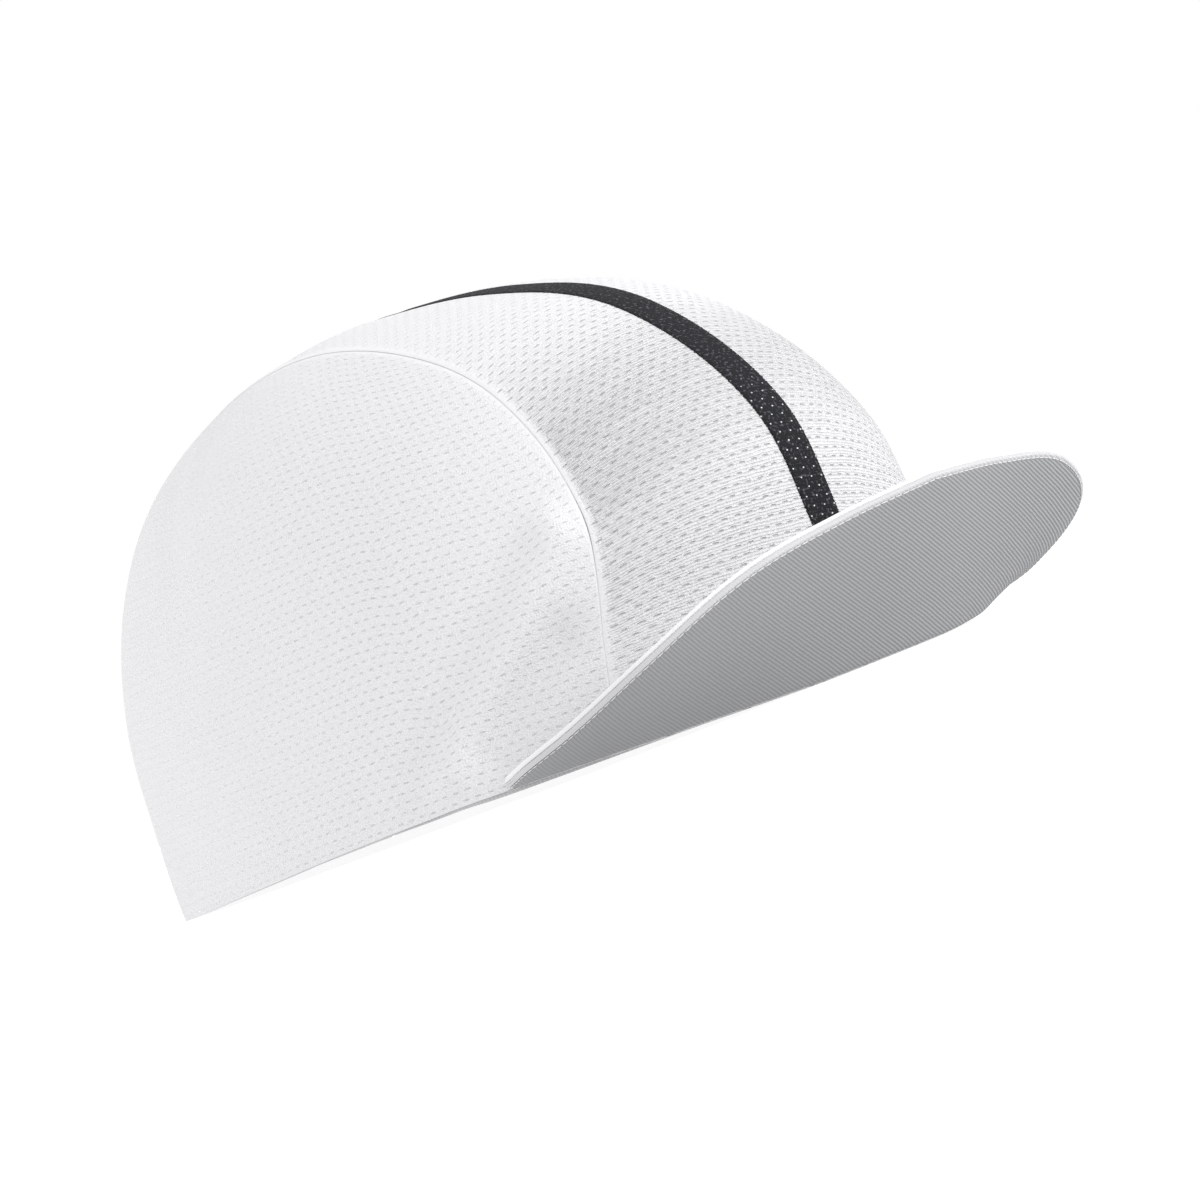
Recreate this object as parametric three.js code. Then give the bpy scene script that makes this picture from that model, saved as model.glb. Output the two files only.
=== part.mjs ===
// A cycling cap with a short flipped-up peak, standing on its hem.
// Millimetres, +Z up, the peak towards -Y. The wearer's right is towards -X.
// Bearings are degrees round the head opening from the front, positive towards +X.
// Rise is degrees up from the hem's plane. Arch is degrees along the crown's middle line,
// from 0 at the front hem over the top at 90 to 180 at the back hem.
import * as THREE from 'three';
import { mergeVertices } from 'three/addons/utils/BufferGeometryUtils.js';

// Head opening and crown
const rimLength = 196;
const rimBreadth = 154.5;
const widestBehindMiddle = 2.9;
const crownHeight = 102.8;
const archRoundness = 1.98;
const hemLift = 2.4;
const crownWall = 2.3;

// Centre panel: its widths between its two seams, and how deep it sags between them
const panelFrontWidth = 105.6;
const panelTopWidth = 54.4;
const panelBackWidth = 50.2;
const panelSag = 2.2;

// Stripe laid into the centre panel
const stripeWidth = 8;
const stripeWall = 1.0;

// Peak
const peakLength = 38.9;
const peakHalfAngle = 49.2;
const peakTopWall = 1;
const peakUnderWall = 1;
const peakCamber = 1;
const weltWidth = 1.4;
const weltProud = 0.15;

// Inner band, and the room that the crown's dents need over it
const bandHeight = 26;
const bandWall = 1.2;
const bandEase = 1.9;

// Gaps between neighbouring pieces, and between two panels at their seam
const clearance = 0.3;
const seamGap = 0.5;

// Number of steps that each surface is divided into
const archSteps = 40;
const sideSteps = 15;
const panelSteps = 6;
const peakSteps = 36;
const peakWidthSteps = 3;
const weltSteps = 4;
const bandSteps = 64;

// Middle line of the crown: reach as a share of the plain oval of the rim length and crown height.
const crownProfile = [
  { arch: 0, reach: 1 },
  { arch: 15, reach: 0.992 },
  { arch: 30, reach: 1.06 },
  { arch: 50, reach: 1.051 },
  { arch: 70, reach: 1.008 },
  { arch: 90, reach: 1 },
  { arch: 110, reach: 1.046 },
  { arch: 130, reach: 1.122 },
  { arch: 150, reach: 1.112 },
  { arch: 165, reach: 1.049 },
  { arch: 180, reach: 1 },
];

// Sides of the crown: how much fuller they are than the plain oval, as a share of the reach.
const crownSides = [
  { rise: 0, fuller: 0 },
  { rise: 20, fuller: -0.06 },
  { rise: 40, fuller: -0.026 },
  { rise: 60, fuller: 0.016 },
  { rise: 78, fuller: 0.017 },
  { rise: 90, fuller: 0 },
];

// Where along its middle line the centre panel sags: share of the panel's sag.
const panelDip = [
  { arch: 0, sag: 0 },
  { arch: 50, sag: 0 },
  { arch: 75, sag: 0.7 },
  { arch: 100, sag: 1 },
  { arch: 135, sag: 1 },
  { arch: 165, sag: 0.2 },
  { arch: 180, sag: 0 },
];

// The hem arches up over the ears, and is flat at the front and back: share of the hem lift.
// Near the peak's corners the inner band peeks out below it, by another share of the hem lift.
const hemArch = [
  { bearing: 0, lift: 0, peek: 0 },
  { bearing: 10, lift: 0, peek: 0 },
  { bearing: 25, lift: 0.36, peek: 0 },
  { bearing: 50, lift: 1, peek: 0.36 },
  { bearing: 75, lift: 1, peek: 0.04 },
  { bearing: 100, lift: 0.55, peek: 0 },
  { bearing: 125, lift: 0.1, peek: 0 },
  { bearing: 145, lift: 0, peek: 0 },
  { bearing: 180, lift: 0, peek: 0 },
];

// Soft folds of the cloth from one point of the wearer's right side to another.
// Spread and height are shares of the crown height, and a height below 0 is a dent.
const folds = [
  { fromBearing: 57, fromRise: 2, toBearing: 37, toRise: 22, spread: 0.045, height: 0.017 },
  { fromBearing: 47, fromRise: 5, toBearing: 35, toRise: 17, spread: 0.04, height: -0.014 },
  { fromBearing: 66, fromRise: 6, toBearing: 51, toRise: 13, spread: 0.036, height: -0.013 },
  { fromBearing: 127, fromRise: 64, toBearing: 118, toRise: 60, spread: 0.03, height: -0.009 },
  { fromBearing: 134, fromRise: 58, toBearing: 118, toRise: 49, spread: 0.03, height: -0.009 },
];

// How deep the same folds are on the wearer's left side, as a share.
const leftFolds = 0.3;

// The flipped-up peak, from its middle to its corners: share of the half angle,
// width as a share of the peak length, and tilt up from the hem's plane in degrees.
const peakSections = [
  { share: 0, width: 1, tilt: 49 },
  { share: 0.2, width: 0.96, tilt: 48 },
  { share: 0.4, width: 0.94, tilt: 40 },
  { share: 0.6, width: 0.79, tilt: 28 },
  { share: 0.8, width: 0.51, tilt: 17 },
  { share: 0.92, width: 0.36, tilt: 9 },
  { share: 1, width: 0.12, tilt: 4 },
];

// How far the peak's sides are turned towards the front, as a share.
const peakForward = 0.12;

// The inner band from its sewn edge up: share of its height, and of its ease.
const bandLevels = [
  { height: 0, ease: 0 },
  { height: 0.35, ease: 1 },
  { height: 0.7, ease: 1 },
  { height: 1, ease: 1 },
];

// Thickness of the peak's two cloths with the gap between them
const peakStack = peakUnderWall + clearance + peakTopWall;

const up = new THREE.Vector3(0, 0, 1);
const forward = new THREE.Vector3(0, -1, 0);
const radians = THREE.MathUtils.degToRad;

// A smooth curve through one column of a table, read at any place along the table.
function readTable(rows, place, column, at) {
  const last = rows.length - 1;
  let row = 0;
  while (row < last - 1 && at > rows[row + 1][place]) row += 1;
  const slope = (a, b) => (rows[b][column] - rows[a][column]) / (rows[b][place] - rows[a][place]);
  const span = rows[row + 1][place] - rows[row][place];
  const startSlope = slope(Math.max(row - 1, 0), row + 1) * span;
  const endSlope = slope(row, Math.min(row + 2, last)) * span;
  const t = THREE.MathUtils.clamp((at - rows[row][place]) / span, 0, 1);
  const low = rows[row][column];
  const high = rows[row + 1][column];
  return low * (2 * t ** 3 - 3 * t ** 2 + 1) + startSlope * (t ** 3 - 2 * t ** 2 + t)
    + high * (3 * t ** 2 - 2 * t ** 3) + endSlope * (t ** 3 - t ** 2);
}

function towards(bearing, rise) {
  const level = Math.cos(radians(rise));
  const angle = radians(bearing);
  return new THREE.Vector3(Math.sin(angle) * level, -Math.cos(angle) * level, Math.sin(radians(rise)));
}

function bearingOf(direction) {
  return THREE.MathUtils.radToDeg(Math.atan2(direction.x, -direction.y));
}

function riseOf(direction) {
  return THREE.MathUtils.radToDeg(Math.asin(THREE.MathUtils.clamp(direction.z, -1, 1)));
}

function hemHeight(bearing) {
  return hemLift * Math.max(0, readTable(hemArch, 'bearing', 'lift', Math.abs(bearing)));
}

// The inner band's lower edge.
function bandEdge(bearing) {
  const peek = readTable(hemArch, 'bearing', 'peek', Math.abs(bearing));
  return hemHeight(bearing) - hemLift * Math.max(0, peek);
}

// Half the centre panel's width at an arch, on a smooth curve through its three widths.
function seamOffset(arch) {
  const t = arch / 180;
  const frontShare = (1 - t) * (1 - 2 * t);
  const topShare = 4 * t * (1 - t);
  const backShare = t * (2 * t - 1);
  return (panelFrontWidth * frontShare + panelTopWidth * topShare + panelBackWidth * backShare) / 2;
}

// How far the folds push the cloth out along a direction.
function foldHeight(bearing, rise) {
  const reach = (rimLength + rimBreadth) / 4;
  const side = Math.abs(bearing);
  const depth = bearing < 0 ? crownHeight : crownHeight * leftFolds;
  let height = 0;
  for (const fold of folds) {
    const level = Math.cos(radians((fold.fromRise + fold.toRise) / 2));
    const start = new THREE.Vector2(fold.fromBearing * level, fold.fromRise);
    const run = new THREE.Vector2(fold.toBearing * level, fold.toRise).sub(start);
    const offset = new THREE.Vector2(side * level, rise).sub(start);
    const share = THREE.MathUtils.clamp(offset.dot(run) / run.lengthSq(), 0, 1);
    const distance = radians(offset.distanceTo(run.multiplyScalar(share))) * reach;
    height += fold.height * depth * Math.exp(-0.5 * (distance / (fold.spread * crownHeight)) ** 2);
  }
  return height;
}

// The crown's outer face along a direction from the middle of the head opening.
function crownFace(direction, folded = true) {
  const arch = THREE.MathUtils.radToDeg(Math.atan2(direction.z, -direction.y));
  const rimReach = rimLength / 2 + (arch <= 90 ? widestBehindMiddle : -widestBehindMiddle);
  const oval = 1 / Math.hypot(Math.cos(radians(arch)) / rimReach, Math.sin(radians(arch)) / crownHeight);
  const middle = oval * readTable(crownProfile, 'arch', 'reach', arch);
  const across = Math.abs(direction.x) / (rimBreadth / 2);
  const along = Math.hypot(direction.y, direction.z) / middle;
  const bearing = bearingOf(direction);
  const rise = riseOf(direction);
  const sideways = Math.sin(radians(bearing)) ** 2;
  const fuller = 1 + sideways * readTable(crownSides, 'rise', 'fuller', rise);
  const reach = fuller * (across ** archRoundness + along ** archRoundness) ** (-1 / archRoundness);
  const fromMiddle = (reach * direction.x) / seamOffset(arch);
  const sag = panelSag * readTable(panelDip, 'arch', 'sag', arch) * Math.max(0, 1 - fromMiddle ** 2);
  const fold = folded ? foldHeight(bearing, rise) : 0;
  const point = direction.clone().multiplyScalar(reach - sag + fold);
  point.y += widestBehindMiddle;
  point.z += hemHeight(bearing) * Math.cos(radians(rise)) ** 2;
  return point;
}

// The crown at a depth below its outer face. The cloth's lower edge is cut level with the hem.
function crownPoint(direction, depth = 0, folded = true) {
  const point = crownFace(direction, folded);
  if (depth === 0) return point;
  const nudge = 0.01;
  const lowRise = 1;
  const sideways = new THREE.Vector3().crossVectors(direction, up);
  if (sideways.lengthSq() < nudge) sideways.set(1, 0, 0);
  const upwards = new THREE.Vector3().crossVectors(sideways, direction).normalize();
  const step = (axis, size) => crownFace(direction.clone().addScaledVector(axis, size).normalize(), folded);
  const across = step(sideways.normalize(), nudge).sub(step(sideways, -nudge));
  const atHem = riseOf(direction) < lowRise;
  const rising = step(upwards, nudge).sub(atHem ? point : step(upwards, -nudge));
  const outwards = across.cross(rising).normalize();
  if (outwards.dot(direction) < 0) outwards.negate();
  const lowest = hemHeight(bearingOf(direction));
  point.addScaledVector(outwards, -depth);
  point.z = atHem ? lowest : Math.max(point.z, lowest);
  return point;
}

// The direction from the head opening's middle to the crown at an offset from its middle line.
function acrossArch(arch, offset) {
  let lean = Math.atan2(offset, crownHeight);
  const aim = () => new THREE.Vector3(
    Math.sin(lean),
    -Math.cos(lean) * Math.cos(radians(arch)),
    Math.cos(lean) * Math.sin(radians(arch)),
  );
  if (offset === 0) return aim();
  const corrections = 8;
  for (let pass = 0; pass < corrections; pass += 1) lean *= offset / crownFace(aim()).x;
  return aim();
}

// A closed body from its points and triangles. Points that meet are joined, triangles that
// shrink to nothing there are left out, and the faces are turned outwards.
function closedBody(points, triangles) {
  const weldDistance = 0.001;
  const raw = new THREE.BufferGeometry();
  raw.setAttribute('position', new THREE.Float32BufferAttribute(points.flatMap((p) => [p.x, p.y, p.z]), 3));
  raw.setIndex(triangles.flat());
  const body = mergeVertices(raw, weldDistance);
  const index = body.getIndex().array;
  const position = body.getAttribute('position');
  const corner = [new THREE.Vector3(), new THREE.Vector3(), new THREE.Vector3()];
  const kept = [];
  let volume = 0;
  for (let i = 0; i < index.length; i += 3) {
    const face = [index[i], index[i + 1], index[i + 2]];
    if (new Set(face).size === 3) {
      kept.push(face);
      face.forEach((vertex, k) => corner[k].fromBufferAttribute(position, vertex));
      volume += corner[0].dot(corner[1].cross(corner[2]));
    }
  }
  body.setIndex(kept.flatMap((face) => (volume < 0 ? [face[0], face[2], face[1]] : face)));
  body.computeVertexNormals();
  return body;
}

// Two triangles between four points of neighbouring rows.
function quad(a, b, c, d) {
  return [[a, b, c], [a, c, d]];
}

// A sheet of cloth with two faces: pointAt gives the point of a row and column, outside or inside.
function clothSheet(rows, columns, pointAt) {
  const points = [];
  for (const inside of [false, true]) {
    for (let row = 0; row <= rows; row += 1) {
      for (let column = 0; column <= columns; column += 1) points.push(pointAt(row, column, inside));
    }
  }
  const width = columns + 1;
  const inner = (rows + 1) * width;
  const triangles = [];
  for (let row = 0; row < rows; row += 1) {
    for (let column = 0; column < columns; column += 1) {
      const a = row * width + column;
      triangles.push(...quad(a, a + 1, a + width + 1, a + width));
      triangles.push(...quad(inner + a, inner + a + width, inner + a + width + 1, inner + a + 1));
    }
    const first = row * width;
    const last = first + columns;
    triangles.push(...quad(first, first + width, inner + first + width, inner + first));
    triangles.push(...quad(last + width, last, inner + last, inner + last + width));
  }
  for (let column = 0; column < columns; column += 1) {
    const end = rows * width + column;
    triangles.push(...quad(column + 1, column, inner + column, inner + column + 1));
    triangles.push(...quad(end, end + 1, inner + end + 1, inner + end));
  }
  return closedBody(points, triangles);
}

// A body drawn through closed sections with equally many points. With no caps it closes on itself.
function sectionBody(sections, caps) {
  const size = sections[0].length;
  const triangles = [];
  const spans = caps ? sections.length - 1 : sections.length;
  for (let i = 0; i < spans; i += 1) {
    const here = i * size;
    const next = ((i + 1) % sections.length) * size;
    for (let k = 0; k < size; k += 1) {
      const following = (k + 1) % size;
      triangles.push(...quad(here + k, here + following, next + following, next + k));
    }
  }
  if (caps) {
    const last = (sections.length - 1) * size;
    for (const [a, b, c] of caps) triangles.push([a, c, b], [last + a, last + b, last + c]);
  }
  return closedBody(sections.flat(), triangles);
}

// The centre panel, with a shallow channel along its middle that the stripe lies in.
function centrePanel() {
  const channelDepth = stripeWall + clearance;
  const channelHalf = stripeWidth / 2 + clearance;
  const channelSlope = clearance;
  const shoulder = channelHalf + channelSlope;
  const half = [{ offset: channelHalf, share: 0, depth: channelDepth }];
  for (let step = 0; step <= panelSteps; step += 1) {
    half.push({ offset: shoulder, share: step / panelSteps, depth: 0 });
  }
  const middle = { offset: 0, share: 0, depth: channelDepth, side: 1 };
  const right = half.map((column) => ({ ...column, side: -1 })).reverse();
  const left = half.map((column) => ({ ...column, side: 1 }));
  const columns = [...right, middle, ...left];
  return clothSheet(archSteps, columns.length - 1, (row, column, inside) => {
    const arch = (180 * row) / archSteps;
    const { offset, share, depth, side } = columns[column];
    const edge = seamOffset(arch) - seamGap / 2;
    const out = offset + (edge - shoulder) * share;
    return crownPoint(acrossArch(arch, side * out), inside ? crownWall : depth);
  });
}

function stripe() {
  const offsets = [-stripeWidth / 2, 0, stripeWidth / 2];
  return clothSheet(archSteps, offsets.length - 1, (row, column, inside) => {
    const arch = (180 * row) / archSteps;
    return crownPoint(acrossArch(arch, offsets[column]), inside ? stripeWall : 0);
  });
}

// A half-moon side panel from the hem up to its seam. Side is 1 towards +X and -1 towards -X.
function sidePanel(side) {
  const seamSide = (arch) => acrossArch(arch, seamOffset(arch) + seamGap / 2);
  const frontBearing = bearingOf(seamSide(0));
  const backBearing = bearingOf(seamSide(180));
  return clothSheet(archSteps, sideSteps, (row, column, inside) => {
    const share = row / archSteps;
    const hem = towards(THREE.MathUtils.lerp(frontBearing, backBearing, share), 0);
    const direction = hem.lerp(seamSide(180 * share), column / sideSteps).normalize();
    direction.x *= side;
    return crownPoint(direction, inside ? crownWall : 0);
  });
}

// Where the peak's two cloths lie at a share of its half angle: out is the distance from
// the hem along the peak, and lift is the distance above its underside.
function peakFrame(share) {
  const bearing = peakHalfAngle * share;
  const rim = crownFace(towards(bearing, 0));
  const nudge = 0.5;
  const along = crownFace(towards(bearing + nudge, 0)).sub(crownFace(towards(bearing - nudge, 0)));
  along.z = 0;
  const outwards = new THREE.Vector3().crossVectors(along.normalize(), up);
  outwards.lerp(forward, peakForward).normalize();
  const tilt = radians(readTable(peakSections, 'share', 'tilt', Math.abs(share)));
  const width = peakLength * readTable(peakSections, 'share', 'width', Math.abs(share));
  const lengthways = outwards.clone().multiplyScalar(Math.cos(tilt)).addScaledVector(up, Math.sin(tilt));
  const crossways = outwards.clone().multiplyScalar(-Math.sin(tilt)).addScaledVector(up, Math.cos(tilt));
  const base = rim.addScaledVector(outwards, peakStack * Math.sin(tilt) + clearance);
  const place = ({ out, lift }) => {
    const along01 = THREE.MathUtils.clamp(out / width, 0, 1);
    const bow = peakCamber * (width / peakLength) * 4 * along01 * (1 - along01);
    return base.clone().addScaledVector(lengthways, out).addScaledVector(crossways, lift - bow);
  };
  return { width, place };
}

// Points along the peak's width from one distance to another at one lift.
function peakRun(from, to, lift) {
  const run = [];
  for (let step = 0; step <= peakWidthSteps; step += 1) {
    run.push({ out: THREE.MathUtils.lerp(from, to, step / peakWidthSteps), lift });
  }
  return run;
}

// The white cover: over the top of the peak, then rolled round its edge as a welt.
function peakTopSection(width) {
  const weltStart = width - weltWidth;
  const underEdge = weltStart - clearance;
  const welt = [{ out: weltStart, lift: peakUnderWall + clearance }, { out: weltStart, lift: 0 }];
  for (let step = 0; step <= weltSteps; step += 1) {
    const turn = radians(-90 + (180 * step) / weltSteps);
    const out = weltStart + weltProud + Math.cos(turn) * (weltWidth - weltProud);
    welt.push({ out, lift: peakStack / 2 + Math.sin(turn) * (peakStack / 2 + weltProud) });
  }
  return [...peakRun(0, underEdge, peakUnderWall + clearance), ...welt, ...peakRun(underEdge, 0, peakStack)];
}

// The grey underside, which ends just inside the welt.
function peakUnderSection(width) {
  const edge = width - weltWidth - clearance;
  return [...peakRun(0, edge, peakUnderWall), ...peakRun(edge, 0, 0)];
}

function peakBody(sectionAt) {
  const sections = [];
  let outline = [];
  for (let step = 0; step <= peakSteps; step += 1) {
    const frame = peakFrame((2 * step) / peakSteps - 1);
    const section = sectionAt(frame.width);
    if (step === 0) outline = section.map(({ out, lift }) => new THREE.Vector2(out, lift));
    sections.push(section.map(frame.place));
  }
  const caps = THREE.ShapeUtils.triangulateShape(outline, []);
  if (THREE.ShapeUtils.isClockWise(outline)) caps.forEach((cap) => cap.reverse());
  return sectionBody(sections, caps);
}

// The band inside the hem. Where the hem arches up, its lower edge peeks out below.
function innerBand() {
  const sections = [];
  const outside = crownWall + clearance;
  const topRise = THREE.MathUtils.radToDeg(Math.atan2(bandHeight, rimBreadth / 2));
  for (let step = 0; step < bandSteps; step += 1) {
    const bearing = (360 * step) / bandSteps - 180;
    const wall = (depth) => bandLevels.map(({ height, ease }) => {
      const point = crownPoint(towards(bearing, topRise * height), depth + bandEase * ease, false);
      if (height === 0) point.z = bandEdge(bearing);
      return point;
    });
    sections.push([...wall(outside), ...wall(outside + bandWall).reverse()]);
  }
  return sectionBody(sections, null);
}

function cloth(color, roughness) {
  return new THREE.MeshStandardMaterial({ color, roughness, metalness: 0 });
}

const whiteMesh = '#f3f3f3';
const charcoal = '#2b2c30';
const greyTwill = '#b8babc';
const greyBand = '#c9cacb';

function piece(name, geometry, color, roughness) {
  const mesh = new THREE.Mesh(geometry, cloth(color, roughness));
  mesh.name = name;
  return mesh;
}

const cap = new THREE.Group();
cap.add(
  piece('centre_panel', centrePanel(), whiteMesh, 0.85),
  piece('side_panel_right', sidePanel(-1), whiteMesh, 0.85),
  piece('side_panel_left', sidePanel(1), whiteMesh, 0.85),
  piece('stripe', stripe(), charcoal, 0.8),
  piece('peak_top', peakBody(peakTopSection), whiteMesh, 0.85),
  piece('peak_underside', peakBody(peakUnderSection), greyTwill, 0.9),
  piece('inner_band', innerBand(), greyBand, 0.9),
);

// The origin lies on the ground below the middle of the cap's box.
const box = new THREE.Box3().setFromObject(cap);
cap.position.y = -(box.min.y + box.max.y) / 2;
cap.updateMatrixWorld(true);

export default cap;
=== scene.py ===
"""A cycling cap of knitted mesh with a short flipped-up peak, standing on its hem.

Metres, +Z up, the peak towards -Y and the wearer's right towards -X. Bearings are degrees round
the head opening from the front, rises are degrees up from the hem's plane, and an arch is degrees
along the crown's middle line, from 0 at the front hem over the top to 180 at the back hem.
"""
import math

import bmesh
import bpy
import numpy as np
from bpy.props import FloatProperty, FloatVectorProperty, PointerProperty
from mathutils import Matrix, Vector, noise


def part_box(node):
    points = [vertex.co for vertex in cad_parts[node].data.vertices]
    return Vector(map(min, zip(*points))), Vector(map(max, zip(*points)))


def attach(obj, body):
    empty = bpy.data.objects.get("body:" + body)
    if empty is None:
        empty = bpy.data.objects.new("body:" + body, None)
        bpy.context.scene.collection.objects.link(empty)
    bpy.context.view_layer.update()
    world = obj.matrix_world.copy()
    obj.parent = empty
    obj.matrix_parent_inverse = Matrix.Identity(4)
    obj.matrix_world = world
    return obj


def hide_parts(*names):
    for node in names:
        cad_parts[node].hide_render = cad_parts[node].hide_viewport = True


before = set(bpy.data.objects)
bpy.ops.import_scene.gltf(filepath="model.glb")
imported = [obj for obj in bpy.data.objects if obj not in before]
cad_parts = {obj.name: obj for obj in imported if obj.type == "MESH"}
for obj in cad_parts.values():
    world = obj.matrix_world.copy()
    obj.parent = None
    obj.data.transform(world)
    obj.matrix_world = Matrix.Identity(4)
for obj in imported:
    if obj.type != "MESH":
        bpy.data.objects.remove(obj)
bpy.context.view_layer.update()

MIDDLE = Vector((0, sum(corner[1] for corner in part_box("inner_band")) / 2, 0))

bl_info = {
    "name": "Cycling cap",
    "version": (1, 0, 0),
    "blender": (4, 5, 0),
    "location": "View3D > Sidebar > Cap",
    "description": "Builds a cloth cycling cap round its solids",
    "category": "Add Mesh",
}

# Middle line of the crown: reach as a share of the plain oval of the rim length and crown height.
CROWN_PROFILE = {
    "arch": (0, 15, 30, 50, 70, 90, 110, 130, 150, 165, 180),
    "reach": (1, 0.992, 1.06, 1.051, 1.008, 1, 1.046, 1.122, 1.112, 1.049, 1),
}

# Sides of the crown: how much fuller they are than the plain oval, as a share of the reach.
CROWN_SIDES = {
    "rise": (0, 20, 40, 60, 78, 90),
    "fuller": (0, -0.06, -0.026, 0.016, 0.017, 0),
}

# How clearly the knit's rows and eyelets show on the centre panel, in colour and in bump. Their fading
# over the top and the back is painted light: it stands for bright light that washes the relief out
# there.
KNIT_RELIEF_AND_PAINTED_LIGHT = {
    "arch": (0, 12, 20, 26, 32, 42, 56, 70, 180),
    "relief": (0.6, 0.75, 1, 1.15, 1.4, 1.4, 0.7, 0.4, 0.25),
}

# The same on the side panels, from their fronts to behind the ears; the fading towards the back is
# painted light too.
SIDE_KNIT_RELIEF_AND_PAINTED_LIGHT = {
    "bearing": (60, 110),
    "relief": (0.42, 0.15),
}

# The same on the flat part of the peak's cover.
COVER_KNIT_RELIEF = 0.6

# Where the stripe's print lets the white eyelets through, which is at its front only.
PRINT_GAPS = {
    "arch": (31, 38),
    "front": (1, 0),
}

# Where along its middle line the centre panel sags: share of the panel's sag.
PANEL_DIP = {
    "arch": (0, 50, 75, 100, 135, 165, 180),
    "sag": (0, 0, 0.7, 1, 1, 0.2, 0),
}

# The hem arches up over the ears, and the inner band peeks out below it near the peak's corners.
HEM_ARCH = {
    "bearing": (0, 10, 25, 50, 75, 100, 125, 145, 180),
    "lift": (0, 0, 0.36, 1, 1, 0.55, 0.1, 0, 0),
    "peek": (0, 0, 0, 0.36, 0.04, 0, 0, 0, 0),
}

# Soft folds from one point of the wearer's right side to another. Spread and height are shares of
# the crown height, and a height below 0 is a dent.
FOLDS = {
    "from_bearing": (57, 51, 63, 127, 134),
    "from_rise": (5, 6, 7, 64, 58),
    "to_bearing": (33, 37, 38, 118, 118),
    "to_rise": (27, 16, 26, 60, 49),
    "spread": (0.034, 0.03, 0.036, 0.03, 0.03),
    "height": (0.034, -0.017, -0.014, -0.012, -0.012),
}
LEFT_FOLDS = 0.3

# The peak from its middle to its corners: share of the half angle, width as a share of the peak
# length, and tilt up from the hem's plane in degrees.
PEAK_SECTIONS = {
    "share": (0, 0.2, 0.4, 0.6, 0.8, 0.92, 1),
    "width": (1, 0.96, 0.94, 0.79, 0.51, 0.36, 0.12),
    "tilt": (49, 48, 40, 28, 17, 9, 4),
}
PEAK_FORWARD = 0.12
ARCH_ROUNDNESS = 1.98

# How the cloth lies at a seam: metres from the seam, and metres that each panel lies proud.
SEAM_RELIEF = {
    "from_seam": (0, 0.0003, 0.0007, 0.0013, 0.002, 0.004, 0.008),
    "centre": (-0.0001, 0.00012, 0.0002, 0.00016, 0.0001, 0.00004, 0),
    "side": (-0.0002, -0.00018, -0.00016, -0.00014, -0.0001, -0.00004, 0),
    "pressed": (1, 0.9, 0.5, 0.05, 0, 0, 0),
}

# How sharp the panels' edges stay under their rounding, from 0 to 1.
SEAM_EDGE_SHARPNESS = 0.8

# How much each part of a cloth's pattern counts in its shade and in its relief.
KNIT_SHADE = {
    "ribs": 0.45,
    "loops": 0.03,
    "grain": 1,
    "eyelets": -1.5,
    # Pressed seam allowances are coloured lighter, partly for their doubled cloth and partly as a
    # painted highlight on the seam's ridge.
    "pressed": 0.3,
    "dirt": 0.12,
}
KNIT_HEIGHT = {"ribs": 0.4, "loops": 0.04, "grain": 0.4, "eyelets": -0.8}
PRINT_HEIGHT = {"ribs": 0.3, "grain": 0.5, "eyelets": -0.3}
TWILL_SHADE = {"ribs": 0.75, "yarn": 0.06, "grain": 0.25, "rolled": 0.7}
TWILL_HEIGHT = {"ribs": 0.7, "yarn": 0.08, "grain": 0.12}
BAND_SHADE = {"ribs": 0.4, "picks": 0.2, "grain": 0.4}
BAND_HEIGHT = {"ribs": 0.5, "picks": 0.3, "grain": 0.3}

# The knit has so many ribs to a row of eyelets, and so many loops to an eyelet.
RIBS_TO_A_ROW = 3
LOOPS_TO_AN_EYELET = 4

# Share of the peak's half angle that is topstitched, and where in its pitch a stitch starts and ends.
PEAK_STITCHED = 0.985
STITCH_PART = (0.04, 0.96)

# Places and sizes of the soft disk lights, in metres. Their powers are in the stage's settings.
STUDIO_LIGHTS = {
    "side_light": ((-1.4, 0.75, 0.35), 0.8),
    "top_light": ((-0.2, 0.75, 1.4), 1.2),
    "rim_light": ((1.0, -1.15, 0.5), 0.8),
    "front_light": ((0.42, -1.42, 0.55), 0.6),
}

# How far the floor reaches from its middle, in metres.
FLOOR_REACH = 30


def length(name, description, default):
    """A size in metres."""
    return FloatProperty(name=name, description=description, default=default, min=0, precision=5,
                         subtype="DISTANCE", unit="LENGTH")


def turn(name, description, default):
    """An angle, given in degrees."""
    return FloatProperty(name=name, description=description, default=math.radians(default),
                         subtype="ANGLE", unit="ROTATION")


def tint(name, description, default):
    """A colour of a cloth or thread."""
    return FloatVectorProperty(name=name, description=description, default=default, size=3, min=0,
                               max=1, subtype="COLOR")


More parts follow.
